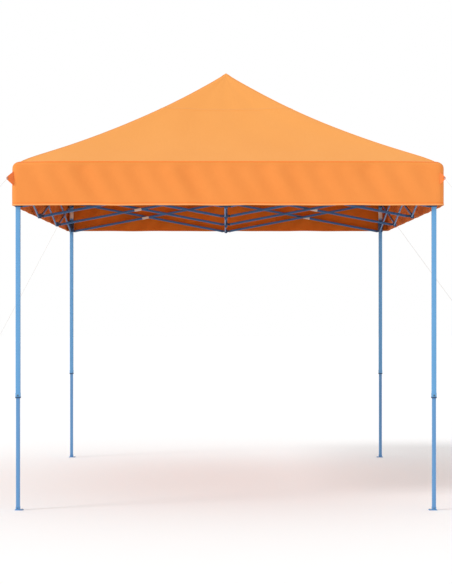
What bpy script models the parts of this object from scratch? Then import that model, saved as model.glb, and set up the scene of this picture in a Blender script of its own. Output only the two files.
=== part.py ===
"""Folding party shelter: four telescoping legs, a scissor truss grid, two peak posts,
a hipped fabric canopy and four corner guy ropes.  Metres, +Z up.

The origin is on the ground at the middle of the footprint.  X runs across the two bays,
Y along the three bays, and the front is at -Y.
"""
import math

import bmesh
import bpy
from mathutils import Matrix, Vector

# driving dimensions
BAY = 1.35                      # spacing of the truss nodes, both ways
UPPER_Z = 2.219                 # height of the upper truss pivots
LOWER_Z = 1.975                 # height of the lower truss pivots
REACH = 0.034                   # node centre to bar pivot
BAR_WIDTH = 0.018
BAR_THICK = 0.010
BAR_WALL = 0.0008
BAR_END = 0.009                 # bar length beyond its end pivots
LAYER = 0.0065                  # sideways offset of the two bars of a truss cross
GAP = 0.0003
LUG_THICK = 0.0024
LUG_HEIGHT = 0.016
LUG_ROOT = 0.002                # how deep a lug runs into its bracket
LEG_OUTER = 0.030
LEG_INNER = 0.025
LEG_WALL = 0.0012
LEG_SPLIT_Z = 0.727             # bottom of the outer leg tube
LEG_TOP_Z = 2.232
LEG_INNER_TOP_Z = 1.18
COLLAR_HEIGHT = 0.034
COLLAR_SIDE = 0.0345
SLIDER_SIDE = 0.0385
SLIDER_HEIGHT = 0.100
SLIDER_DROP = 0.007             # how far the slider reaches below its bar pivots
FOOT_THICK = 0.004
FOOT_OUT = 0.0205
FOOT_IN = 0.0335
HUB_SIDE = 0.024
PEAK_HUB_SIDE = 0.032
HUB_HEIGHT = 0.036
POST_RADIUS = 0.010
POST_WALL = 0.0012
POST_CLEARANCE = 0.0008         # between a post and the bore of the bracket that guides it
POST_BOTTOM_Z = 1.948
BRACKET_RADIUS = 0.013          # lower truss bracket on a post
BRACKET_RISE = 0.015
POST_TOP_Z = 2.985
POST_DOME_RISE = 0.006
POST_DOME_SHARE = 0.6           # top radius of the dome over the post radius
POST_CAP = 0.010                # depth of the closed end
CANOPY_HALF_X = 1.390
CANOPY_HALF_Y = 2.065
CANOPY_CORNER = 0.040
CANOPY_THICK = 0.0012
EAVE_Z = 2.254
PEAK_Z = 3.010
VALANCE_Z = 1.975
RIDGE_SHARE = 0.992             # how far up its slope the roof closes into a narrow flat ridge
ROOF_STRAIGHT = 0.66            # share of the roof's rise that is a straight slope, the rest is square
ROOF_SHARES = (0.2, 0.4, 0.6, 0.8, 0.93, 1.0)
ROOF_INSET = 1.2                # drop of the roof's inner face for each unit that it is moved in
ROOF_CORNER_SHARE = 0.8         # most that a corner may take of a roof ring's half width
ROPE_RADIUS = 0.0015
TAB_REACH = 0.021               # corner to rope eyelet, along each of X and Y
TAB_Z = 2.151

PIVOT_SPAN = BAY - 2 * REACH
BAR_LENGTH = math.hypot(PIVOT_SPAN, UPPER_Z - LOWER_Z)
UP = Vector((0, 0, 1))

# node letters: the columns are L, C and R, the rows 0 to 3 from the front
COLUMNS = {"L": -BAY, "C": 0.0, "R": BAY}
ROWS = [(row - 1.5) * BAY for row in range(4)]
HUBS = {"C0": "hub_front", "C1": "hub_peak_front", "C2": "hub_peak_back",
        "C3": "hub_back", "L1": "hub_left", "R1": "hub_right"}
CORNERS = {"L0": "front_left", "R0": "front_right", "L3": "back_left", "R3": "back_right"}
POSTS = {"C1": "post_front", "C2": "post_back"}

# every truss cross, from the node that carries it to the node that it reaches
TRUSSES = [("C1", "L1"), ("C1", "R1"), ("C1", "C0"), ("C1", "C2"), ("C2", "L2"), ("C2", "R2"),
           ("C2", "C3"), ("C0", "L0"), ("C0", "R0"), ("C3", "L3"), ("C3", "R3"), ("L1", "L0"),
           ("L1", "L2"), ("R1", "R0"), ("R1", "R2"), ("L3", "L2"), ("R3", "R2")]

# each rope's run out from its tab, for a full drop to the ground, and its built length
ROPES = {"front_left": ((-1.78, -1.20, -2.13), 0.36), "front_right": ((1.53, -1.20, -2.13), 0.36),
         "back_left": ((-1.27, 1.20, -2.13), 1.54), "back_right": ((1.72, 1.20, -2.13), 1.26)}
ROPE_POINTS = 24
ROPE_SAG = 0.004                # share of the length that a taut rope drops at its middle

FINISHES = {
    "leg_tube": ((0.195, 0.451, 0.768), 0.38, 0.0),
    "truss_bar": ((0.058, 0.141, 0.319), 0.42, 0.0),
    "fitting": ((0.030, 0.035, 0.045), 0.55, 0.0),
    "post_tube": ((0.190, 0.270, 0.400), 0.40, 0.0),
    "canopy_cloth": ((0.956, 0.413, 0.098), 0.85, 0.0),
    "rope_cord": ((0.750, 0.730, 0.700), 0.80, 0.0),
}


def clear_scene():
    for obj in list(bpy.data.objects):
        bpy.data.objects.remove(obj, do_unlink=True)


def make_finish(name):
    colour, roughness, metallic = FINISHES[name]
    finish = bpy.data.materials.new(name)
    finish.use_nodes = True
    shader = finish.node_tree.nodes["Principled BSDF"]
    shader.inputs["Base Color"].default_value = (*colour, 1)
    shader.inputs["Roughness"].default_value = roughness
    shader.inputs["Metallic"].default_value = metallic
    return finish


def node_place(node, z=0.0):
    """Centre of a truss node, such as C1, at height z."""
    return Vector((COLUMNS[node[0]], ROWS[int(node[1])], z))


def skin(rings, cyclic=False):
    """One closed mesh over rings of equally many points: a tube wall when cyclic,
    otherwise closed by the first and the last ring."""
    count = len(rings[0])
    points = [point for ring in rings for point in ring]
    spans = len(rings) if cyclic else len(rings) - 1
    faces = []
    for k in range(spans):
        a, b = k * count, (k + 1) % len(rings) * count
        for i in range(count):
            j = (i + 1) % count
            faces.append((a + i, a + j, b + j, b + i))
    if not cyclic:
        faces.append(tuple(range(count))[::-1])
        faces.append(tuple(range(len(points) - count, len(points))))
    mesh = bpy.data.meshes.new("skin")
    mesh.from_pydata(points, [], faces)
    work = bmesh.new()
    work.from_mesh(mesh)
    bmesh.ops.recalc_face_normals(work, faces=work.faces)
    work.to_mesh(mesh)
    work.free()
    return mesh


def square_ring(half, z):
    return [(-half, -half, z), (half, -half, z), (half, half, z), (-half, half, z)]


def round_ring(radius, z, sides=16):
    turns = [2 * math.pi * k / sides for k in range(sides)]
    return [(radius * math.cos(turn), radius * math.sin(turn), z) for turn in turns]


def box_mesh(low, high):
    corners = [(low[0], low[1]), (high[0], low[1]), (high[0], high[1]), (low[0], high[1])]
    return skin([[(x, y, z) for x, y in corners] for z in (low[2], high[2])])


def sleeve_mesh(outer_half, inner_half, low_z, high_z):
    """Square tube, open at both ends."""
    return skin([square_ring(outer_half, low_z), square_ring(outer_half, high_z),
                 square_ring(inner_half, high_z), square_ring(inner_half, low_z)], cyclic=True)


def lug_meshes(directions, start, z):
    """Upright plates that carry a bar pivot, one towards each neighbouring node."""
    end = REACH + BAR_END
    half, rise = LUG_THICK / 2, LUG_HEIGHT / 2
    plates = []
    for way in directions:
        near, far = start * way, end * way
        side = Vector((abs(way.y), abs(way.x), 0)) * half
        low = [min(near[k], far[k]) - side[k] for k in range(2)] + [z - rise]
        high = [max(near[k], far[k]) + side[k] for k in range(2)] + [z + rise]
        plates.append(box_mesh(low, high))
    return plates


def union(meshes):
    """The exact boolean union of some meshes, as one mesh."""
    objects = [bpy.data.objects.new("piece", mesh) for mesh in meshes]
    for obj in objects:
        bpy.context.collection.objects.link(obj)
    base = objects[0]
    for other in objects[1:]:
        step = base.modifiers.new("join", "BOOLEAN")
        step.operation = "UNION"
        step.object = other
    bpy.context.view_layer.update()
    result = bpy.data.meshes.new_from_object(base.evaluated_get(bpy.context.evaluated_depsgraph_get()))
    for obj in objects:
        bpy.data.objects.remove(obj, do_unlink=True)
    return result


def place(name, data, finish, matrix=Matrix()):
    obj = bpy.data.objects.new(name, data)
    obj.matrix_world = matrix
    obj.data.materials.clear()
    obj.data.materials.append(finish)
    bpy.context.collection.objects.link(obj)
    return obj


def level_pivot(node, z):
    """Where the first truss that reaches a node meets its bracket, which is the axis that the
    node's pieces turn on.  The first node is reached by none, and gives its own centre."""
    for first, second in TRUSSES:
        if second == node:
            way = (node_place(second) - node_place(first)).normalized()
            return node_place(node, z) - way * REACH
    return node_place(node, z)


def place_on_pivot(name, mesh, finish, node, pivot):
    """Places a mesh modelled round a node's point on the ground, with its origin on a pivot."""
    mesh.transform(Matrix.Translation(node_place(node) - pivot))
    place(name, mesh, finish, Matrix.Translation(pivot))


def neighbours(node):
    """Unit directions from a node to the nodes that trusses join it to."""
    ways = []
    for first, second in TRUSSES:
        if node in (first, second):
            other = second if node == first else first
            ways.append((node_place(other) - node_place(node)).normalized())
    return ways


def bar_mesh(back, ahead):
    """Rectangular tube along X, from -back to ahead, open at both ends."""
    def ring(x, inset):
        y, z = BAR_THICK / 2 - inset, BAR_WIDTH / 2 - inset
        return [(x, -y, -z), (x, y, -z), (x, y, z), (x, -y, z)]
    return skin([ring(-back, 0), ring(ahead, 0), ring(ahead, BAR_WALL), ring(-back, BAR_WALL)],
                cyclic=True)


def truss_name(first, second):
    """Such as row2_left for a cross truss, or left_bay1 for one along the length."""
    if first[1] == second[1]:
        side = "left" if "L" in (first[0], second[0]) else "right"
        return f"row{int(first[1]) + 1}_{side}"
    column = {"L": "left", "C": "centre", "R": "right"}[first[0]]
    return f"{column}_bay{min(int(first[1]), int(second[1])) + 1}"


def make_bars(finish):
    """The two bars of each cross.  The carried bar hangs from the first node's upper pivot,
    its partner turns on it at the crossing."""
    carried = bar_mesh(BAR_END, BAR_LENGTH + BAR_END)
    partner = bar_mesh(BAR_LENGTH / 2 + BAR_END, BAR_LENGTH / 2 + BAR_END)
    for first, second in TRUSSES:
        start, end = node_place(first), node_place(second)
        way = (end - start).normalized()
        side = UP.cross(way)
        high, low = start + way * REACH + UP * UPPER_Z, end - way * REACH + UP * LOWER_Z
        other_low, other_high = start + way * REACH + UP * LOWER_Z, end - way * REACH + UP * UPPER_Z
        name = truss_name(first, second)
        for label, mesh, origin, along, layer in (
                ("bar_hung", carried, high, low - high, LAYER),
                ("bar_crossed", partner, (high + low) / 2, other_high - other_low, -LAYER)):
            x_axis = along.normalized()
            turn = Matrix((x_axis, side, x_axis.cross(side))).transposed().to_4x4()
            place(f"{name}_{label}", mesh, finish, Matrix.Translation(origin + side * layer) @ turn)


def make_legs(tube, fitting):
    """Outer tube with its top bracket and bottom collar, inner tube with its foot, and slider."""
    half = LEG_OUTER / 2
    for node, corner in CORNERS.items():
        ways = neighbours(node)
        outer = [skin([square_ring(half - LEG_WALL, LEG_TOP_Z - LEG_WALL),
                       square_ring(half - LEG_WALL, LEG_SPLIT_Z), square_ring(half, LEG_SPLIT_Z),
                       square_ring(half, LEG_TOP_Z)]),
                 sleeve_mesh(COLLAR_SIDE / 2, half - LEG_WALL / 2, LEG_SPLIT_Z,
                             LEG_SPLIT_Z + COLLAR_HEIGHT)]
        outer += lug_meshes(ways, half - LEG_WALL / 2, UPPER_Z)
        place_on_pivot(f"leg_outer_{corner}", union(outer), tube, node, level_pivot(node, UPPER_Z))

        inner_half = LEG_INNER / 2
        inner = skin([square_ring(inner_half - LEG_WALL, FOOT_THICK),
                      square_ring(inner_half - LEG_WALL, LEG_INNER_TOP_Z),
                      square_ring(inner_half, LEG_INNER_TOP_Z), square_ring(inner_half, FOOT_THICK / 2)])
        inward = Vector((-math.copysign(1, node_place(node).x), -math.copysign(1, node_place(node).y), 0))
        ends = [sorted((inward[k] * FOOT_IN, -inward[k] * FOOT_OUT)) for k in range(2)]
        foot = box_mesh((ends[0][0], ends[1][0], 0), (ends[0][1], ends[1][1], FOOT_THICK))
        place(f"leg_inner_{corner}", union([inner, foot]), tube, Matrix.Translation(node_place(node)))

        low_z = LOWER_Z - SLIDER_DROP
        sleeve = [sleeve_mesh(SLIDER_SIDE / 2, half + GAP, low_z, low_z + SLIDER_HEIGHT)]
        sleeve += lug_meshes(ways, SLIDER_SIDE / 2 - LUG_ROOT, LOWER_Z)
        place_on_pivot(f"slider_{corner}", union(sleeve), fitting, node, level_pivot(node, LOWER_Z))


def make_hubs(fitting):
    """Upper truss brackets.  The two under the peaks are open for the post."""
    low_z, high_z = UPPER_Z - HUB_HEIGHT / 2, UPPER_Z + HUB_HEIGHT / 2
    for node, name in HUBS.items():
        if node in POSTS:
            half = PEAK_HUB_SIDE / 2
            body = sleeve_mesh(half, POST_RADIUS + POST_CLEARANCE, low_z, high_z)
        else:
            half = HUB_SIDE / 2
            body = box_mesh((-half, -half, low_z), (half, half, high_z))
        plates = lug_meshes(neighbours(node), half - LUG_ROOT, UPPER_Z)
        place_on_pivot(name, union([body] + plates), fitting, node, level_pivot(node, UPPER_Z))


def make_posts(tube):
    """Peak posts: tubes with a closed domed top, on the lower truss bracket."""
    inner = POST_RADIUS - POST_WALL
    for node, name in POSTS.items():
        wall = skin([round_ring(inner, POST_TOP_Z - POST_CAP), round_ring(inner, POST_BOTTOM_Z),
                     round_ring(POST_RADIUS, POST_BOTTOM_Z),
                     round_ring(POST_RADIUS, POST_TOP_Z - POST_DOME_RISE),
                     round_ring(POST_RADIUS * POST_DOME_SHARE, POST_TOP_Z)])
        bore, low_z, high_z = POST_RADIUS - POST_WALL / 2, LOWER_Z - BRACKET_RISE, LOWER_Z + BRACKET_RISE
        bracket = skin([round_ring(bore, low_z), round_ring(BRACKET_RADIUS, low_z),
                        round_ring(BRACKET_RADIUS, high_z), round_ring(bore, high_z)], cyclic=True)
        plates = lug_meshes(neighbours(node), BRACKET_RADIUS - LUG_ROOT, LOWER_Z)
        # the front post hangs from the near end of its right-hand truss
        pivot = level_pivot(node, LOWER_Z) + (Vector((REACH, 0, 0)) if node == "C1" else Vector())
        place_on_pivot(name, union([wall, bracket] + plates), tube, node, pivot)


def rounded_ring(half_x, half_y, radius, z, steps=4):
    """Rounded rectangle, anticlockwise, with steps + 1 points on each corner arc."""
    points = []
    for quarter, (sx, sy) in enumerate(((1, 1), (-1, 1), (-1, -1), (1, -1))):
        for k in range(steps + 1):
            turn = math.pi / 2 * (quarter + k / steps)
            points.append((sx * (half_x - radius) + radius * math.cos(turn),
                           sy * (half_y - radius) + radius * math.sin(turn), z))
    return points


def roof_height(t):
    """Height over the eave at share t of the way up a roof slope, which hollows a little."""
    return EAVE_Z + (PEAK_Z - EAVE_Z) * (ROOF_STRAIGHT * t + (1 - ROOF_STRAIGHT) * t * t)


def canopy_rings(inset):
    """Rings from the valance hem up to the ridge, moved in by inset."""
    half_x, half_y = CANOPY_HALF_X - inset, CANOPY_HALF_Y - inset
    rings = [rounded_ring(half_x, half_y, CANOPY_CORNER, z)
             for z in (VALANCE_Z, EAVE_Z - inset)]
    ridge = CANOPY_HALF_Y - CANOPY_HALF_X
    for t in ROOF_SHARES:
        run = half_x * (1 - t * RIDGE_SHARE)
        rings.append(rounded_ring(run, ridge + run, min(CANOPY_CORNER, run * ROOF_CORNER_SHARE),
                                  roof_height(t) - ROOF_INSET * inset))
    return rings


def make_canopy(cloth):
    outer, inner = canopy_rings(0), canopy_rings(CANOPY_THICK)
    place("canopy", skin(outer[::-1] + inner), cloth)


def make_ropes(cord):
    """Guy ropes, taut, from the canopy's corner tabs down and out."""
    for corner, (run, length) in ROPES.items():
        way = Vector(run).normalized()
        start = Vector((math.copysign(CANOPY_HALF_X + TAB_REACH, run[0]),
                        math.copysign(CANOPY_HALF_Y + TAB_REACH, run[1]), TAB_Z))
        curve = bpy.data.curves.new(f"rope_{corner}", "CURVE")
        curve.dimensions = "3D"
        curve.bevel_depth = ROPE_RADIUS
        curve.bevel_resolution = 2
        curve.use_fill_caps = True
        spline = curve.splines.new("POLY")
        spline.points.add(ROPE_POINTS - 1)
        for k in range(ROPE_POINTS):
            share = k / (ROPE_POINTS - 1)
            sag = 4 * ROPE_SAG * length * share * (1 - share)
            spline.points[k].co = (*(start + way * (length * share) - UP * sag), 1)
        place(f"rope_{corner}", curve, cord)


def main():
    clear_scene()
    finishes = {name: make_finish(name) for name in FINISHES}
    make_bars(finishes["truss_bar"])
    make_legs(finishes["leg_tube"], finishes["fitting"])
    make_hubs(finishes["fitting"])
    make_posts(finishes["post_tube"])
    make_canopy(finishes["canopy_cloth"])
    make_ropes(finishes["rope_cord"])


main()
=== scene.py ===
import math

import bmesh
import bpy
import numpy as np
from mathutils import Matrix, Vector


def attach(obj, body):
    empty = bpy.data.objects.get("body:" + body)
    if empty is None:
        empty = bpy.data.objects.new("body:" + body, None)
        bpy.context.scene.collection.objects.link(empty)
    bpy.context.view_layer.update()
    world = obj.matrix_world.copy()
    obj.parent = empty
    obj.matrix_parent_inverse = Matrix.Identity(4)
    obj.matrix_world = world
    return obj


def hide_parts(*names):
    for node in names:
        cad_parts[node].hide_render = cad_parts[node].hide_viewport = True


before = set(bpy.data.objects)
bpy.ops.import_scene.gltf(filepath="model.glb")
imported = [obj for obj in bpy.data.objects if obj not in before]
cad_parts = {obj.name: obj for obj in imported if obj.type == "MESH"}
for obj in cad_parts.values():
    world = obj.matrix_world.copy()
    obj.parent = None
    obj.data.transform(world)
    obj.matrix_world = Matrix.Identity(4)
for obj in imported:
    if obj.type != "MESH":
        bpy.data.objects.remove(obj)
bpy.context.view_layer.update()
up = np.array((0.0, 0.0, 1.0))

# the truss grid that every place below comes from, in metres
shelter = {"bay": 1.35, "upperZ": 2.219, "lowerZ": 1.975, "reach": 0.034, "layer": 0.0065}
columnX = {"L": -shelter["bay"], "C": 0.0, "R": shelter["bay"]}
trusses = [("C1", "L1"), ("C1", "R1"), ("C1", "C0"), ("C1", "C2"), ("C2", "L2"), ("C2", "R2"),
           ("C2", "C3"), ("C0", "L0"), ("C0", "R0"), ("C3", "L3"), ("C3", "R3"), ("L1", "L0"),
           ("L1", "L2"), ("R1", "R0"), ("R1", "R2"), ("L3", "L2"), ("R3", "R2")]
corners = {"L0": "front_left", "R0": "front_right", "L3": "back_left", "R3": "back_right"}


def nodeSpot(node, z=0.0):
    # column and row of the grid times the bay, rows counted from the middle
    return np.array((columnX[node[0]], (int(node[1]) - 1.5) * shelter["bay"], z))


def trussName(first, second):
    # across trusses are named by row and side, and the others by column and bay
    if first[1] == second[1]:
        return f"row{int(first[1]) + 1}_" + ("left" if "L" in first[0] + second[0] else "right")
    column = {"L": "left", "C": "centre", "R": "right"}[first[0]]
    return f"{column}_bay{min(int(first[1]), int(second[1])) + 1}"


def unit(v):
    # a vector over its own length
    return np.asarray(v, float) / np.linalg.norm(v)


def waysFrom(node):
    # unit directions along the trusses that meet at a node
    pairs = [pair for pair in trusses if node in pair]
    others = [b if a == node else a for a, b in pairs]
    return [unit(nodeSpot(other) - nodeSpot(node)) for other in others]


# shapes: each returns points and faces
def gridShape(points, capped=False):
    # quads over a rows x columns grid of points, the last column joined to the first
    rows, cols = points.shape[:2]
    index = np.arange(rows * cols).reshape(rows, cols)
    right = np.roll(index, -1, axis=1)
    quads = np.stack((index[:-1], right[:-1], right[1:], index[1:]), axis=-1).reshape(-1, 4)
    faces = quads.tolist()
    if capped:
        faces += [index[0, ::-1].tolist(), index[-1].tolist()]
    return points.reshape(-1, 3), faces


def roundedProfile(halfA, halfB, radius, steps=4):
    # a rectangle whose corners are quarter arcs of the given radius
    turn = (np.arange(4)[:, None] + np.linspace(0, 1, steps + 1)[None, :]) * math.pi / 2
    signA = np.array((1, -1, -1, 1))[:, None]
    signB = np.array((1, 1, -1, -1))[:, None]
    a = signA * (halfA - radius) + radius * np.cos(turn)
    b = signB * (halfB - radius) + radius * np.sin(turn)
    return np.stack((a, b), axis=-1).reshape(-1, 2)


def sweepShape(profile, start, end, sideA, sideB, edge=0.0):
    # a profile carried straight from start to end, its two ends drawn in by edge
    start, end = np.asarray(start, float), np.asarray(end, float)
    way = unit(end - start)
    half = np.abs(profile).max(axis=0)
    stations = [(start, edge), (start + way * edge, 0), (end - way * edge, 0), (end, edge)]
    rings = []
    for place, inset in stations:
        drawn = profile * (1 - inset / half)
        rings.append(place + drawn[:, :1] * sideA + drawn[:, 1:] * sideB)
    return gridShape(np.array(rings), capped=True)


def blockShape(low, high, edge=0.002):
    # an upright block with round corners and softened top and bottom
    low, high = np.asarray(low, float), np.asarray(high, float)
    middle, half = (low + high) / 2, (high - low) / 2
    profile = roundedProfile(half[0], half[1], min(edge, half[0] * 0.9, half[1] * 0.9))
    start, end = np.array((middle[0], middle[1], low[2])), np.array((middle[0], middle[1], high[2]))
    return sweepShape(profile, start, end, np.array((1.0, 0, 0)), np.array((0, 1.0, 0)),
                      min(edge * 0.6, half[2] * 0.4))


def turnedShape(profile, centre, axis, sides=20, closed=True):
    # a turned piece: (radius, height) pairs spun round an axis through centre
    axis = unit(axis)
    sideA = unit(np.cross(axis, up) if abs(axis[2]) < 0.9 else np.array((1.0, 0, 0)))
    sideB = np.cross(axis, sideA)
    turn = np.arange(sides) * 2 * math.pi / sides
    ring = np.cos(turn)[:, None] * sideA + np.sin(turn)[:, None] * sideB
    radius, height = np.array(profile, float).T
    points = centre + radius[:, None, None] * ring[None] + height[:, None, None] * axis
    return gridShape(points, capped=closed)


def ropeShape(path, radius, sides=10):
    # a round tube along a path, its rings turned with the path's own direction
    path = np.asarray(path, float)
    along = np.gradient(path, axis=0)
    along /= np.linalg.norm(along, axis=1)[:, None]
    across = np.cross(along, (0.31, 0.22, 0.93))  # any direction that no rope or seam runs in
    across /= np.linalg.norm(across, axis=1)[:, None]
    other = np.cross(along, across)
    turn = np.arange(sides) * 2 * math.pi / sides
    ring = np.cos(turn)[None, :, None] * across[:, None] + np.sin(turn)[None, :, None] * other[:, None]
    return gridShape(path[:, None] + radius * ring, capped=True)


def makePiece(name, shapes, finishes, body, replaces=()):
    # one object from several shapes, each given as (shape, finish number)
    points, faces, numbers, offset = [], [], [], 0
    for (shapePoints, shapeFaces), number in shapes:
        points.append(shapePoints)
        faces += [[i + offset for i in face] for face in shapeFaces]
        numbers += [number] * len(shapeFaces)
        offset += len(shapePoints)
    mesh = bpy.data.meshes.new(name)
    mesh.from_pydata(np.concatenate(points).tolist(), [], faces)
    mesh.polygons.foreach_set("material_index", numbers)
    work = bmesh.new()
    work.from_mesh(mesh)
    bmesh.ops.remove_doubles(work, verts=work.verts, dist=0.000005)
    bmesh.ops.recalc_face_normals(work, faces=work.faces)
    work.to_mesh(mesh)
    work.free()
    piece = bpy.data.objects.new(name, mesh)
    bpy.context.collection.objects.link(piece)
    for finish in finishes:
        mesh.materials.append(finish)
    mesh.shade_smooth()
    mesh.set_sharp_from_angle(angle=math.radians(38))
    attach(piece, body)
    if replaces:
        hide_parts(*replaces)
    return piece


# finishes
def paint(hexText):
    # sRGB hex to linear: a twelfth of the dark values, and the 2.4 power of the rest
    value = np.array([int(hexText[i:i + 2], 16) / 255 for i in (1, 3, 5)])
    linear = np.where(value <= 0.04045, value / 12.92, ((value + 0.055) / 1.055) ** 2.4)
    return (*linear.tolist(), 1.0)


def addNode(tree, kind, values=None, links=None, **settings):
    # one node with its settings, its fixed inputs and its linked inputs
    node = tree.nodes.new(kind)
    for key, value in settings.items():
        setattr(node, key, value)
    for key, value in (values or {}).items():
        node.inputs[key].default_value = value
    for key, socket in (links or {}).items():
        tree.links.new(socket, node.inputs[key])
    return node


def newFinish(name, values):
    # a material with these values on its shader
    finish = bpy.data.materials.new(name)
    finish.use_nodes = True
    tree = finish.node_tree
    shader = tree.nodes["Principled BSDF"]
    for key, value in values.items():
        shader.inputs[key].default_value = value
    return finish, tree, shader


def mottledFinish(name, dark, light, values, patch, grain, bumpDepth):
    # a paint or plastic: tone drifts over `patch` metres, and the skin has a `grain`-sized texture
    finish, tree, shader = newFinish(name, values)
    spot = addNode(tree, "ShaderNodeTexCoord")
    drift = addNode(tree, "ShaderNodeTexNoise", {"Scale": 1 / patch, "Detail": 4.0},
                    {"Vector": spot.outputs["Object"]})
    tone = addNode(tree, "ShaderNodeMix", links={"Factor": drift.outputs["Fac"]}, data_type="RGBA")
    tone.inputs["A"].default_value, tone.inputs["B"].default_value = paint(dark), paint(light)
    skin = addNode(tree, "ShaderNodeTexNoise", {"Scale": 1 / grain, "Detail": 2.0},
                   {"Vector": spot.outputs["Object"]})
    bump = addNode(tree, "ShaderNodeBump", {"Strength": 0.25, "Distance": bumpDepth},
                   {"Height": skin.outputs["Fac"]})
    gloss = addNode(tree, "ShaderNodeMapRange", {"To Min": values["Roughness"] - 0.05,
                    "To Max": values["Roughness"] + 0.08}, {"Value": drift.outputs["Fac"]})
    tree.links.new(tone.outputs["Result"], shader.inputs["Base Color"])
    tree.links.new(bump.outputs["Normal"], shader.inputs["Normal"])
    tree.links.new(gloss.outputs["Result"], shader.inputs["Roughness"])
    return finish


def clothFinish(name, dark, light, thread, roughness=0.82, sheen=0.04):
    # woven polyester with a thin coating; the weave is drawn coarser than its real 0.4 mm to show
    finish, tree, shader = newFinish(name, {"Roughness": roughness, "Sheen Weight": sheen,
                                            "Sheen Roughness": 0.5, "Specular IOR Level": 0.2})
    flat = addNode(tree, "ShaderNodeUVMap", uv_map="clothMetres")
    drift = addNode(tree, "ShaderNodeTexNoise", {"Scale": 3.0, "Detail": 5.0},
                    {"Vector": flat.outputs["UV"]})
    warp = addNode(tree, "ShaderNodeTexWave", {"Scale": 0.314 / thread, "Distortion": 0.4},
                   {"Vector": flat.outputs["UV"]}, bands_direction="X")
    weft = addNode(tree, "ShaderNodeTexWave", {"Scale": 0.314 / thread, "Distortion": 0.4},
                   {"Vector": flat.outputs["UV"]}, bands_direction="Y")
    weave = addNode(tree, "ShaderNodeMath", links={0: warp.outputs["Fac"], 1: weft.outputs["Fac"]},
                    operation="MULTIPLY")
    crease = addNode(tree, "ShaderNodeTexNoise", {"Scale": 9.0, "Detail": 6.0, "Distortion": 1.2},
                     {"Vector": flat.outputs["UV"]})
    tone = addNode(tree, "ShaderNodeMix", links={"Factor": drift.outputs["Fac"]}, data_type="RGBA")
    tone.inputs["A"].default_value, tone.inputs["B"].default_value = paint(dark), paint(light)
    creaseBump = addNode(tree, "ShaderNodeBump", {"Strength": 0.35, "Distance": 0.006},
                         {"Height": crease.outputs["Fac"]})
    weaveBump = addNode(tree, "ShaderNodeBump", {"Strength": 0.3, "Distance": 0.0005},
                        {"Height": weave.outputs["Value"], "Normal": creaseBump.outputs["Normal"]})
    tree.links.new(tone.outputs["Result"], shader.inputs["Base Color"])
    tree.links.new(weaveBump.outputs["Normal"], shader.inputs["Normal"])
    return finish


# powder-coated steel: satin, with a faint orange peel
legPaint = mottledFinish("skyPowderCoat", "#5E9CCF", "#67A4D6", {"Roughness": 0.38}, 0.25, 0.0016, 0.0002)
innerLegPaint = mottledFinish("innerPowderCoat", "#5A90C4", "#6298CB", {"Roughness": 0.36}, 0.25, 0.0016,
                              0.0002)
# the bars take a darker copy of the frame's powder coat: painted shade from the canopy over them
barPaintShaded = mottledFinish("barPowderCoatShaded", "#2C5C8E", "#356698", {"Roughness": 0.42}, 0.2, 0.0016, 0.0002)
# glass-filled nylon: matte, with the fine spark texture of its mould
nylon = mottledFinish("mouldedNylon", "#141C26", "#1B242F", {"Roughness": 0.58}, 0.05, 0.0009, 0.0002)
bracketNylon = mottledFinish("bracketNylon", "#27486E", "#2F5178", {"Roughness": 0.5}, 0.05, 0.0009, 0.0002)
sleeveNylon = mottledFinish("paleNylonSleeve", "#CFC3B4", "#DACFC2", {"Roughness": 0.5}, 0.05, 0.0009, 0.0002)
zinc = mottledFinish("zincPlatedSteel", "#5C6670", "#6E7881", {"Roughness": 0.45, "Metallic": 1.0}, 0.01,
                     0.0006, 0.0001)
# the roof and the valance are one fabric: the roof's lighter, yellower tone is a painted lit copy, and the
# valance's deeper tone a painted shaded copy
cloth = clothFinish("coatedPolyester", "#EC9C4C", "#F1A353", 0.0016)
valanceClothShaded = clothFinish("coatedPolyesterValanceShaded", "#EE8D42", "#F2954A", 0.0016)
# the inside is the same fabric, given a darker tone as painted shade under the canopy
clothInsideShaded = clothFinish("coatedPolyesterInsideShaded", "#C26012", "#CB6A1A", 0.0016, 0.85, 0.0)
hemCloth = clothFinish("hemTape", "#F79F58", "#FBA863", 0.0012)
seamCloth = clothFinish("seamThread", "#F4762A", "#F87E32", 0.0012)
facingCloth = clothFinish("eaveFacing", "#EC8F42", "#F1974A", 0.0016)
tabCloth = clothFinish("tabWebbing", "#F07E40", "#F58648", 0.0016)
cordBraid = mottledFinish("braidedPolyesterCord", "#D8D6D2", "#EEECE8", {"Roughness": 0.8}, 0.004, 0.0012,
                          0.0003)

# camera, floor and light
view = {"spot": (0.0, -13.695, 1.336), "lens": 110.8, "rise": 0.021}
cameraData = bpy.data.cameras.new("viewCamera")
cameraData.lens, cameraData.shift_y, cameraData.sensor_width = view["lens"], view["rise"], 36.0
camera = bpy.data.objects.new("viewCamera", cameraData)
camera.location, camera.rotation_euler = view["spot"], (math.pi / 2, 0, 0)
bpy.context.collection.objects.link(camera)
bpy.context.scene.camera = camera

studio = {"floorHalf": 60.0, "floor": "#FEFEFE", "skyLight": 0.80, "sunLight": 1.45,
          "sunFrom": (-0.72, -0.40, 0.56)}
edge = studio["floorHalf"]
floorMesh = bpy.data.meshes.new("studioFloor")
floorMesh.from_pydata([(-edge, -edge, -0.0005), (edge, -edge, -0.0005), (edge, edge, -0.0005),
                       (-edge, edge, -0.0005)], [], [(0, 1, 2, 3)])
floorFinish = newFinish("paleFloor", {"Base Color": paint(studio["floor"]), "Roughness": 0.9})[0]
floorMesh.materials.append(floorFinish)
studioFloor = bpy.data.objects.new("studioFloor", floorMesh)
bpy.context.collection.objects.link(studioFloor)

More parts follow.
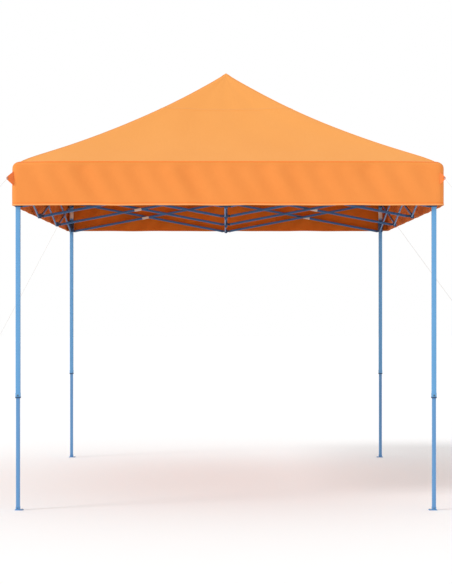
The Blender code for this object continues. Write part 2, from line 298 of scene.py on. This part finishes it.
# the backdrop is pure white to the camera, and lights the scene with the lower skyLight
world = bpy.data.worlds.new("studioWorld")
world.use_nodes = True
sky = world.node_tree.nodes["Background"]
sky.inputs["Color"].default_value = paint("#FFFFFF")
ray = addNode(world.node_tree, "ShaderNodeLightPath")
skyLight = addNode(world.node_tree, "ShaderNodeMapRange", {"To Min": studio["skyLight"], "To Max": 1.0},
                   {"Value": ray.outputs["Is Camera Ray"]})
world.node_tree.links.new(skyLight.outputs["Result"], sky.inputs["Strength"])
bpy.context.scene.world = world
bpy.context.scene.view_settings.view_transform = "Standard"
sunData = bpy.data.lights.new("studioSun", "SUN")
sunData.energy, sunData.angle = studio["sunLight"], math.radians(16)
sun = bpy.data.objects.new("studioSun", sunData)
sun.rotation_euler = (-Vector(studio["sunFrom"])).to_track_quat("-Z", "Y").to_euler()
bpy.context.collection.objects.link(sun)
print("stage and camera")

# guy ropes
rope = {"radius": 0.0015, "points": 24, "sag": 0.004, "eyeletOut": 0.021, "eyeletZ": 2.151,
        "canopyHalf": (1.390, 2.065)}
ropeRuns = {"front_left": ((-1.78, -1.20, -2.13), 0.36), "front_right": ((1.53, -1.20, -2.13), 0.36),
            "back_left": ((-1.27, 1.20, -2.13), 1.54), "back_right": ((1.72, 1.20, -2.13), 1.26)}


def ropePath(corner):
    # a straight run from the eyelet with a slight parabolic sag
    run, length = ropeRuns[corner]
    way = unit(run)
    start = np.array((math.copysign(rope["canopyHalf"][0] + rope["eyeletOut"], run[0]),
                      math.copysign(rope["canopyHalf"][1] + rope["eyeletOut"], run[1]), rope["eyeletZ"]))
    share = np.linspace(0, 1, rope["points"])[:, None]
    return start + way * length * share - up * 4 * rope["sag"] * length * share * (1 - share)


def makeRope(corner):
    # the cord and the knot on its far end
    path = ropePath(corner)
    way = unit(path[-1] - path[-2])
    line = makePiece(f"guyRope_{corner}", [(ropeShape(path, rope["radius"]), 0)], [cordBraid], "canopy",
                     replaces=[f"rope_{corner}"])
    knotProfile = [(0.0010, -0.0065), (0.0034, -0.0045), (0.0042, -0.0018), (0.0034, 0.0),
                   (0.0042, 0.0018), (0.0032, 0.0045), (0.0010, 0.0062)]
    knot = makePiece(f"ropeKnot_{corner}", [(turnedShape(knotProfile, path[-1] - way * 0.008, way, 14), 0)],
                     [cordBraid], "canopy")


for corner in ropeRuns:
    makeRope(corner)
print("guy ropes")

# canopy cloth
roof = {"halfX": 1.390, "halfY": 2.065, "corner": 0.040, "eaveZ": 2.262, "peakZ": 3.010, "hemZ": 1.975,
        "firstRise": 0.66, "panelSag": 0.016, "ridgeSag": 0.022, "drape": 0.0044, "thickness": 0.0008,
        "seamShare": 0.67, "seamHalf": 0.006, "seamProud": 0.0011, "inset": 0.002,
        "cornerDip": 0.012, "cornerPull": 0.056, "cornerDrop": 0.045, "cornerFade": 0.17,
        "eaveTurn": 0.007, "looseSide": 0.026, "hemWave": 0.0018, "foldDepth": 0.0088, "foldSlant": 0.13,
        "folds": ((0.62, 82, 0.2), (0.30, 61, 1.3), (0.50, 37, 0.4))}  # share, cycles round, phase


def outlineColumns(spacing=0.021, arcSteps=6):
    # every column of the cloth as (ax, ay, turn): a share of the straight sides plus a corner arc,
    # anticlockwise from the back right corner
    quarter = np.linspace(0, math.pi / 2, arcSteps + 1)
    columns = []
    for number, (sx, sy) in enumerate(((1, 1), (-1, 1), (-1, -1), (1, -1))):
        base = number * math.pi / 2
        columns.append(np.stack((np.full_like(quarter, sx), np.full_like(quarter, sy), base + quarter), -1))
        length = 2 * (roof["halfX"] if number % 2 == 0 else roof["halfY"])
        share = np.linspace(1, -1, int(length / spacing))[1:-1]
        ax = sx * share if number % 2 == 0 else np.full_like(share, sx)
        ay = np.full_like(share, sy) if number % 2 == 0 else sy * share
        columns.append(np.stack((ax, ay, np.full_like(share, base + math.pi / 2)), -1))
    return np.concatenate(columns).T


outlineX, outlineY, outlineTurn = outlineColumns()


def outline(halfX, halfY, radius):
    # rounded rectangle: straight part scaled by the column's share, plus the arc
    x = outlineX * (halfX - radius) + radius * np.cos(outlineTurn)
    y = outlineY * (halfY - radius) + radius * np.sin(outlineTurn)
    return x, y


eaveX, eaveY = outline(roof["halfX"], roof["halfY"], roof["corner"])
girth = np.concatenate(([0], np.cumsum(np.hypot(np.diff(eaveX), np.diff(eaveY)))))
panelShare = np.where(np.abs(outlineX) < 1, outlineX, np.where(np.abs(outlineY) < 1, outlineY, 1.0))
# 1 at a corner, fading as a bell curve along the eave
cornerGap = roof["halfX"] - np.abs(eaveX) + roof["halfY"] - np.abs(eaveY)
nearCorner = np.exp(-(cornerGap / roof["cornerFade"]) ** 2)
girthTotal = girth[-1] + math.hypot(eaveX[0] - eaveX[-1], eaveY[0] - eaveY[-1])


def hangLoose(x):
    # the cloth stands off the frame on the right: an offset that grows with the fourth power of x
    return x + roof["looseSide"] * np.clip(x / roof["halfX"], 0, 1.1) ** 4


def eaveDrawnIn(down):
    # a quarter round over the eave: small along the sides, wide at the corners
    side = roof["eaveTurn"] * (1 - np.sqrt(1 - np.clip(1 - down / roof["eaveTurn"], 0, 1) ** 2))
    corner = roof["cornerPull"] * (1 - np.sqrt(1 - np.clip(1 - down / roof["cornerDrop"], 0, 1) ** 2))
    return side + (corner - side) * nearCorner


def wrap(cycles, phase=0.0):
    # a wave with a whole number of cycles round the girth
    return np.sin(2 * math.pi * cycles * girth / girthTotal + phase)


def roofRow(t, proud=0.0):
    # height firstRise t + (1 - firstRise) t^2 of the rise, with panels that dip between the hips,
    # a slack ridge, and corners drawn down and in
    run = roof["halfX"] * (1 - t)
    x, y = outline(run + proud, roof["halfY"] - roof["halfX"] + run + proud, min(roof["corner"], run * 0.8))
    first = roof["firstRise"]
    z = roof["eaveZ"] + (roof["peakZ"] - roof["eaveZ"]) * (first * t + (1 - first) * t * t)
    z = z - roof["panelSag"] * (1 - panelShare ** 2) * 4 * t * (1 - t)
    betweenPosts = np.clip(1 - (y / (roof["halfY"] - roof["halfX"])) ** 2, 0, 1)
    slack = roof["ridgeSag"] * betweenPosts * t ** 6
    slack = slack + roof["cornerDip"] * nearCorner * min(t / 0.03, 1.0) * (1 - t) ** 14
    drawnIn = (eaveDrawnIn(0.0) + roof["inset"]) * (1 - t) ** 30
    x, y = x - drawnIn * np.cos(outlineTurn), y - drawnIn * np.sin(outlineTurn)
    drape = roof["drape"] * wrap(21, 9 * t) * t * (1 - t)
    return np.stack((hangLoose(x), y, z - slack + drape + proud), axis=-1)


def valanceOffset(drop):
    # soft folds that slant as they fall, with drop from 0 at the eave to 1 at a nearly straight hem
    slant = 2 * math.pi * roof["foldSlant"] * (drop + 0.3 * drop ** 2) / girthTotal
    folds = sum(share * wrap(cycles, phase - cycles * slant) for share, cycles, phase in roof["folds"])
    calm = 1 - 0.85 * np.abs(panelShare) ** 14
    start = np.clip(drop / 0.22, 0, 1)
    return roof["foldDepth"] * start * start * (3 - 2 * start) * (1 - 0.85 * drop ** 4) * folds * calm


def valanceRow(drop, proud=0.0):
    # the outline, moved out by the folds and in by the turn over the eave
    x, y = outline(roof["halfX"], roof["halfY"], roof["corner"])
    drawnIn = eaveDrawnIn(drop * (roof["eaveZ"] - roof["hemZ"]))
    out = valanceOffset(drop) - roof["inset"] - drawnIn + proud
    hemZ = roof["hemZ"] + roof["hemWave"] * (1 + 0.6 * wrap(23) + 0.4 * wrap(41, 0.7))
    z = roof["eaveZ"] + (hemZ - roof["eaveZ"]) * drop
    return np.stack((hangLoose(x + out * np.cos(outlineTurn)), y + out * np.sin(outlineTurn), z), axis=-1)


def addClothMap(piece):
    # a map in metres: along the side that a face looks out of one way, and height plus distance out the other
    mesh = piece.data
    layer = mesh.uv_layers.new(name="clothMetres")
    points = np.zeros(len(mesh.vertices) * 3)
    mesh.vertices.foreach_get("co", points)
    points = points.reshape(-1, 3)
    loops = np.zeros(len(mesh.loops), int)
    mesh.loops.foreach_get("vertex_index", loops)
    normals = np.zeros(len(mesh.polygons) * 3)
    mesh.polygons.foreach_get("normal", normals)
    sizes = np.zeros(len(mesh.polygons), int)
    mesh.polygons.foreach_get("loop_total", sizes)
    facing = np.repeat(np.abs(normals.reshape(-1, 3)), sizes, axis=0)
    at = points[loops]
    sideOn = facing[:, 0] > facing[:, 1]
    u = np.where(sideOn, at[:, 1], at[:, 0])
    v = at[:, 2] + np.where(sideOn, np.abs(at[:, 0]), np.abs(at[:, 1]))
    layer.data.foreach_set("uv", np.stack((u, v), -1).ravel())


def meshArea(rows):
    # half the cross product of two sides, for both triangles of each quad
    a, b = rows[:-1], rows[1:]
    nextA, nextB = np.roll(a, -1, axis=1), np.roll(b, -1, axis=1)
    return 0.5 * (np.linalg.norm(np.cross(nextA - a, b - a), axis=-1)
                  + np.linalg.norm(np.cross(nextA - nextB, b - nextB), axis=-1)).sum()


def makeCanopy():
    # one sheet from the peak down to the hem; flat size is twice the slope and drop, plus the ridge one way
    seam, wide = roof["seamShare"], roof["seamHalf"]
    seamRows = [seam - wide, seam - wide * 0.8, seam + wide * 0.8, seam + wide]
    shares = np.unique(np.concatenate(([0, 0.006, 0.014, 0.024], np.linspace(0.04, 0.97, 24),
                                       [0.985, 0.995, 1.0], seamRows)))[::-1]
    rows = [roofRow(t, roof["seamProud"] if abs(t - seam) < wide * 0.9 else 0.0) for t in shares]
    # closer rows where the cloth turns over the eave
    for drop in np.concatenate((np.linspace(0, 0.12, 7), np.linspace(0.12, 1, 17)[1:])):
        rows.append(valanceRow(drop))
    rows = np.array(rows)
    piece = makePiece("canopyCloth", [(gridShape(rows), 0)], [cloth, clothInsideShaded, valanceClothShaded, clothInsideShaded],
                      "canopy", replaces=["canopy"])
    centres = np.zeros(len(piece.data.polygons) * 3)
    piece.data.polygons.foreach_get("center", centres)
    # the hanging faces take the valance's painted-shade copy of the fabric
    hangs = centres.reshape(-1, 3)[:, 2] < roof["eaveZ"] - 0.001
    piece.data.polygons.foreach_set("material_index", np.where(hangs, 2, 0).tolist())
    addClothMap(piece)
    wall = piece.modifiers.new("wall", "SOLIDIFY")
    # the inner face of the wall takes the darker inside copy: painted shade
    wall.thickness, wall.offset, wall.material_offset = roof["thickness"], -1, 1
    slope = math.hypot(roof["halfX"], roof["peakZ"] - roof["eaveZ"]) + roof["eaveZ"] - roof["hemZ"]
    ridge = 2 * (roof["halfY"] - roof["halfX"])
    return piece, (2 * slope, 2 * slope + ridge), float(meshArea(rows))


# tapes on the valance: top and bottom as shares of its drop, rows, stand-off and finish
tapes = {"hemTape": (0.962, 1.0, 5, 0.0012, hemCloth), "hemStitching": (0.940, 0.952, 3, 0.0006, seamCloth),
         "eaveSeam": (0.003, 0.021, 4, 0.0007, seamCloth),
         "eaveFacing": (0.024, 0.085, 6, 0.0005, facingCloth)}
hipSeam = {"radius": 0.0022, "from": 0.02, "to": 0.985, "points": 40}


def bandShape(drops, proud):
    # a tape laid proud of the cloth: its face, and edges that tuck back under it
    rows = [valanceRow(drops[0], -0.0004)] + [valanceRow(drop, proud) for drop in drops]
    return gridShape(np.array(rows + [valanceRow(drops[-1], -0.0012)]))


def makeTrim():
    # the tapes, and a thin round seam up each hip along the cloth's own corner column
    trims = []
    for name, (top, bottom, count, proud, finish) in tapes.items():
        band = bandShape(np.linspace(top, bottom, count), proud)
        trims.append(makePiece(name, [(band, 0)], [finish], "canopy"))
    for number, (sx, sy) in enumerate(((1, 1), (-1, 1), (-1, -1), (1, -1))):
        t = np.linspace(hipSeam["from"], hipSeam["to"], hipSeam["points"])
        column = int(np.argmin((outlineX - sx) ** 2 + (outlineY - sy) ** 2
                               + (outlineTurn - (number + 0.5) * math.pi / 2) ** 2))
        path = np.array([roofRow(value, 0.0004)[column] for value in t])
        trims.append(makePiece(f"hipSeam_{number + 1}", [(ropeShape(path, hipSeam["radius"], 8), 0)],
                               [cloth], "canopy"))
    for trim in trims:
        addClothMap(trim)
    return trims


cornerTab = {"tip": 0.010, "neck": (0.006, 0.008), "back": (0.048, 0.046), "hole": 0.0035,
             "halfThick": 0.0007, "bead": 0.0016, "beadRing": 0.0050}


def makeTab(node, corner):
    # a sewn triangle with an eyelet: rings from the hole out to the triangle's edge, front then back
    signs = np.sign(nodeSpot(node)[:2])
    out = np.append(signs / math.sqrt(2), 0)
    side = np.cross(up, out)
    eyelet = np.array((signs[0] * (roof["halfX"] + rope["eyeletOut"]),
                       signs[1] * (roof["halfY"] + rope["eyeletOut"]), rope["eyeletZ"]))
    (neckA, neckB), (backA, backB) = cornerTab["neck"], cornerTab["back"]
    outlinePoints = np.array([(cornerTab["tip"], 0.0), (neckA, neckB), (-backA, backB), (-backA, 0.0),
                              (-backA, -backB), (neckA, -neckB)])
    closedLine = np.vstack((outlinePoints, outlinePoints[:1]))
    share = np.linspace(0, 6, 25)[:-1]
    edgeA = np.interp(share, np.arange(7), closedLine[:, 0])
    edgeB = np.interp(share, np.arange(7), closedLine[:, 1])
    turn = np.arctan2(edgeB, edgeA)
    holeA, holeB = cornerTab["hole"] * np.cos(turn), cornerTab["hole"] * np.sin(turn)
    rings = []
    for mix, face in ((0, 1), (0.5, 1), (1, 1), (1, -1), (0.5, -1), (0, -1), (0, 1)):
        a, b = holeA + (edgeA - holeA) * mix, holeB + (edgeB - holeB) * mix
        rings.append(eyelet + a[:, None] * out + b[:, None] * up + face * cornerTab["halfThick"] * side)
    tab = makePiece(f"cornerTab_{corner}", [(gridShape(np.array(rings)), 0)], [tabCloth], "canopy")
    addClothMap(tab)
    bead = np.linspace(0, 2 * math.pi, 9)
    profile = np.stack((cornerTab["beadRing"] + cornerTab["bead"] * np.cos(bead),
                        cornerTab["bead"] * np.sin(bead)), -1)
    ring = makePiece(f"eyelet_{corner}", [(turnedShape(profile, eyelet, side, 20, closed=False), 0)], [nylon],
                     "canopy")
    return [tab, ring]


canopyPiece, clothSize, clothArea = makeCanopy()
canopyExtras = makeTrim()
for node, corner in corners.items():
    canopyExtras += makeTab(node, corner)
print("canopy", [round(size, 3) for size in clothSize], round(clothArea, 2))

# truss bars
bar = {"width": 0.018, "thick": 0.010, "end": 0.009, "edge": 0.0026, "rivet": 0.0052, "plug": 0.0045}
rivetProfile = [(bar["rivet"], 0.0), (bar["rivet"], 0.0008), (bar["rivet"] * 0.8, 0.0019),
                (bar["rivet"] * 0.35, 0.0024)]
sleeve = {"length": 0.056, "past": 0.029, "half": (0.0062, 0.0104)}


def makeBar(name, start, end, side, layer, pale):
    # a flat tube between two pivots, shifted sideways by its layer, with end plugs, rivets and,
    # on pale bars, a sleeve just past the crossing
    way = unit(end - start)
    tall = unit(np.cross(way, side))
    profile = roundedProfile(bar["thick"] / 2, bar["width"] / 2, bar["edge"])
    lift = side * layer
    first, last = start - way * bar["end"] + lift, end + way * bar["end"] + lift
    plug = way * bar["plug"]
    shapes = [(sweepShape(profile, first + plug * 0.4, last - plug * 0.4, side, tall), 0)]
    for place, inward in ((first, 1), (last, -1)):
        plugEnds = place - inward * way * 0.0002, place + inward * plug
        shapes.append((sweepShape(profile * 1.04, *plugEnds, side, tall, 0.0008), 1))
    face = side * math.copysign(bar["thick"] / 2, layer)
    for place in (start, end) if pale else (start, (start + end) / 2, end):
        shapes.append((turnedShape(rivetProfile, place + lift + face, face, 14), 2))
    if pale:
        middle = (start + end) / 2 + lift + way * sleeve["past"]
        half = way * sleeve["length"] / 2
        collar = roundedProfile(sleeve["half"][0], sleeve["half"][1], 0.003)
        shapes.append((sweepShape(collar, middle - half, middle + half, side, tall, 0.001), 3))
    # the tube takes the bars' darker copy of the powder coat, painted shade
    makePiece(f"{name}_tube", shapes, [barPaintShaded, nylon, zinc, sleeveNylon], name,
              replaces=[name])


for first, second in trusses:
    nearSpot, farSpot = nodeSpot(first), nodeSpot(second)
    way = unit(farSpot - nearSpot)
    side = np.cross(up, way)
    nearPivot, farPivot = nearSpot + way * shelter["reach"], farSpot - way * shelter["reach"]
    name = trussName(first, second)
    pale = name[:4] in ("row3", "row4")
    high, low = up * shelter["upperZ"], up * shelter["lowerZ"]
    makeBar(f"{name}_bar_hung", nearPivot + high, farPivot + low, side, shelter["layer"], pale)
    makeBar(f"{name}_bar_crossed", nearPivot + low, farPivot + high, side, -shelter["layer"], False)
print("truss bars")

# truss brackets
bracket = {"half": 0.012, "rise": 0.017, "lug": 0.0012, "lugRise": 0.0085, "lugEnd": 0.044,
           "peakHalf": 0.016, "bore": 0.0108}


def lugShapes(node, z, start, finish=0):
    # a plate on edge towards each truss that meets here, from start out past the bar's pivot
    shapes = []
    for way in waysFrom(node):
        side = np.cross(up, way)
        near, far = nodeSpot(node, z) + way * start, nodeSpot(node, z) + way * bracket["lugEnd"]
        plate = roundedProfile(bracket["lug"], bracket["lugRise"], 0.0006)
        shapes.append((sweepShape(plate, near, far, side, up, 0.0003), finish))
    return shapes


def ringWall(spot, outerRing, innerRing, lowZ, highZ):
    # a closed wall between two outlines: up the outside, and down the inside
    rings = [(outerRing, lowZ), (outerRing, highZ), (innerRing, highZ), (innerRing, lowZ), (outerRing, lowZ)]
    points = [np.column_stack((ring + spot[:2], np.full(len(ring), z))) for ring, z in rings]
    return gridShape(np.array(points))


def makeBracket(name, node, z, body, half=bracket["half"], replaces=(), hollow=False):
    # a block with lugs, or round a peak post a square block with a round bore
    spot = nodeSpot(node, z)
    low, high = spot - (half, half, bracket["rise"]), spot + (half, half, bracket["rise"])
    if hollow:
        outer = roundedProfile(half, half, 0.003)
        turn = np.arctan2(outer[:, 1], outer[:, 0])
        bore = bracket["bore"] * np.stack((np.cos(turn), np.sin(turn)), -1)
        block = ringWall(spot, outer, bore, low[2], high[2])
    else:
        block = blockShape(low, high, 0.003)
    makePiece(name, [(block, 0)] + lugShapes(node, z, half - 0.002), [bracketNylon], body,
              replaces)


upperBrackets = {"C0": "hub_front", "C1": "hub_peak_front", "C2": "hub_peak_back", "C3": "hub_back",
                 "L1": "hub_left", "R1": "hub_right"}
for node, hub in upperBrackets.items():
    peak = node in ("C1", "C2")
    makeBracket(f"upperBracket_{node}", node, shelter["upperZ"], hub,
                bracket["peakHalf" if peak else "half"], [hub], peak)
for node, carrier in (("L2", "row3_left_bar_crossed"), ("R2", "row3_right_bar_crossed")):
    makeBracket(f"upperBracket_{node}", node, shelter["upperZ"], carrier)
for node, carrier in (("C0", "centre_bay1"), ("C3", "centre_bay3"), ("L1", "row2_left"),
                      ("R1", "row2_right"), ("L2", "row3_left"), ("R2", "row3_right")):
    makeBracket(f"lowerBracket_{node}", node, shelter["lowerZ"], f"{carrier}_bar_hung")
print("brackets")

# legs, feet and sliders
leg = {"outer": 0.015, "inner": 0.0125, "wall": 0.0016, "splitZ": 0.727, "topZ": 2.232, "innerTopZ": 1.18,
       "capHalf": 0.0162, "capHeight": 0.052, "capSeat": 0.030, "spacerZ": (2.086, 2.156),
       "spacerProud": 0.0012, "lugStart": 0.0142}
legCollar = {"half": 0.01725, "rise": 0.034, "rim": 0.009, "step": 0.0008, "buttonRise": 0.018,
             "button": [(0.0052, 0), (0.0052, 0.002), (0.0042, 0.0036), (0.0018, 0.0042)]}
foot = {"thick": 0.004, "out": 0.0205, "in": 0.0335, "socketWall": 0.0018, "socketTop": 0.022,
        "stopZ": 0.014, "pegIn": 0.0245,
        "peg": [(0.0060, 0), (0.0060, 0.0009), (0.0036, 0.0009), (0.0036, 0.0)]}
slider = {"half": 0.01925, "drop": 0.007, "height": 0.100, "lugStart": 0.0175, "bandZ": (0.084, 0.0965),
          "knobAside": 0.0098, "knobIn": 0.0240, "knobRise": 0.062, "leverAside": (0.0012, 0.0185),
          "leverIn": (0.0185, 0.0262), "leverZ": (0.030, 0.080),
          "knob": [(0.0035, -0.001), (0.0035, 0.005), (0.0066, 0.006), (0.0076, 0.009),
                   (0.0072, 0.0135), (0.0050, 0.0155), (0.0020, 0.0160)]}
xWay, yWay = np.array((1.0, 0, 0)), np.array((0, 1.0, 0))


def hollowTube(spot, outer, inner, lowZ, highZ, corner=0.003):
    # a square tube with round corners, open at both ends
    return ringWall(spot, roundedProfile(outer, outer, corner), roundedProfile(inner, inner, corner * 0.6),
                    lowZ, highZ)


def blockAlong(spot, wayX, wayY, reachX, reachY, zRange, edge):
    # an upright block given by how far it reaches along two signed directions from a spot
    (lowX, highX), (lowY, highY) = sorted(wayX * far for far in reachX), sorted(wayY * far for far in reachY)
    return blockShape(spot + (lowX, lowY, zRange[0]), spot + (highX, highY, zRange[1]), edge)


def makeOuterLeg(node, corner):
    # tube, top cap with lugs, pale spacer, and a stepped collar with its button
    spot = nodeSpot(node)
    outward = yWay * np.sign(spot[1])
    tube = hollowTube(spot, leg["outer"], leg["outer"] - leg["wall"], leg["splitZ"] + 0.002,
                      leg["topZ"] - leg["capSeat"])
    cap = blockAlong(spot, 1, 1, (-leg["capHalf"], leg["capHalf"]), (-leg["capHalf"], leg["capHalf"]),
                     (leg["topZ"] - leg["capHeight"], leg["topZ"]), 0.003)
    rimZ = leg["splitZ"] + legCollar["rim"]
    rim = hollowTube(spot, legCollar["half"], leg["inner"] + 0.0002, leg["splitZ"], rimZ, 0.004)
    collar = hollowTube(spot, legCollar["half"] - legCollar["step"], leg["outer"] - 0.0006, rimZ - 0.0005,
                        leg["splitZ"] + legCollar["rise"], 0.004)
    spacer = hollowTube(spot, leg["outer"] + leg["spacerProud"], leg["outer"] - 0.0004, *leg["spacerZ"])
    button = turnedShape(legCollar["button"], spot + outward * legCollar["half"]
                         + up * (leg["splitZ"] + legCollar["buttonRise"]), outward, 18)
    makePiece(f"legTube_{corner}", [(tube, 0), (cap, 1), (rim, 2), (collar, 0), (button, 3), (spacer, 4)]
              + lugShapes(node, shelter["upperZ"], leg["lugStart"], 1),
              [legPaint, bracketNylon, bracketNylon, zinc, sleeveNylon], f"leg_outer_{corner}",
              replaces=[f"leg_outer_{corner}"])


def makeInnerLeg(node, corner):
    # tube in a welded socket, on a plate that reaches further towards the inside
    spot = nodeSpot(node)
    signX, signY = np.sign(spot[:2])
    outward = yWay * signY
    inner = hollowTube(spot, leg["inner"], leg["inner"] - leg["wall"], 0.002, leg["innerTopZ"], 0.0026)
    reach = (-foot["in"], foot["out"])
    plate = blockAlong(spot, signX, signY, reach, reach, (0, foot["thick"]), 0.005)
    socket = hollowTube(spot, leg["inner"] + foot["socketWall"], leg["inner"], foot["thick"] - 0.0005,
                        foot["socketTop"], 0.003)
    stop = turnedShape(rivetProfile, spot + outward * leg["inner"] + up * foot["stopZ"], outward, 14)
    inside = -np.array((signX, signY, 0))
    peg = turnedShape(foot["peg"], spot + inside * foot["pegIn"] + up * foot["thick"], up, 18, closed=False)
    makePiece(f"legFoot_{corner}", [(inner, 0), (plate, 0), (socket, 0), (stop, 1), (peg, 1)],
              [innerLegPaint, zinc], f"leg_inner_{corner}", replaces=[f"leg_inner_{corner}"])


def makeSlider(node, corner):
    # housing with a band, and a release lever and knob beside the layer the folded side bar passes in
    spot = nodeSpot(node)
    signY = np.sign(spot[1])
    outward, free = yWay * signY, xWay * signY
    base = spot + up * (shelter["lowerZ"] - slider["drop"])
    lowZ = base[2]
    housing = hollowTube(spot, slider["half"], leg["outer"] + 0.0003, lowZ, lowZ + slider["height"], 0.004)
    knob = turnedShape(slider["knob"], base + free * slider["knobAside"] - outward * slider["knobIn"]
                       + up * slider["knobRise"], -outward, 22)
    bandLow, bandHigh = slider["bandZ"]
    band = hollowTube(spot, 0.0200, 0.0190, lowZ + bandLow, lowZ + bandHigh, 0.004)
    lever = blockAlong(base, signY, -signY, slider["leverAside"], slider["leverIn"], slider["leverZ"], 0.0035)
    makePiece(f"sliderHousing_{corner}", [(housing, 0), (knob, 1), (lever, 1), (band, 0)]
              + lugShapes(node, shelter["lowerZ"], slider["lugStart"]),
              [bracketNylon, nylon], f"slider_{corner}", replaces=[f"slider_{corner}"])


for node, corner in corners.items():
    makeOuterLeg(node, corner)
    makeInnerLeg(node, corner)
    makeSlider(node, corner)
print("legs")

# peak posts
post = {"radius": 0.010, "bottomZ": 1.948, "topZ": 2.985}


def makePost(node, name):
    # a round tube with a domed cap, and a turned lower bracket with lugs
    spot = nodeSpot(node)
    tube = turnedShape([(post["radius"] - 0.001, post["bottomZ"]), (post["radius"], post["bottomZ"] + 0.001),
                        (post["radius"], post["topZ"] - 0.02)], spot, up, 28)
    cap = turnedShape([(0.0112, post["topZ"] - 0.040), (0.0120, post["topZ"] - 0.038),
                       (0.0120, post["topZ"] - 0.004), (0.0100, post["topZ"] + 0.002),
                       (0.0050, post["topZ"] + 0.006)], spot, up, 28)
    lowZ = shelter["lowerZ"]
    hub = turnedShape([(0.0102, lowZ - 0.015), (0.0125, lowZ - 0.0155), (0.0135, lowZ - 0.013),
                       (0.0135, lowZ + 0.013), (0.0125, lowZ + 0.0155), (0.0102, lowZ + 0.015)], spot, up, 28)
    # the post tube takes the same darker, painted-shade copy of the powder coat
    makePiece(f"{name}_tube", [(tube, 0), (cap, 1), (hub, 2)]
              + lugShapes(node, lowZ, 0.0115, 2),
              [barPaintShaded, nylon, bracketNylon], name, replaces=[name])


makePost("C1", "post_front")
makePost("C2", "post_back")
print("posts")

bpy.context.view_layer.update()
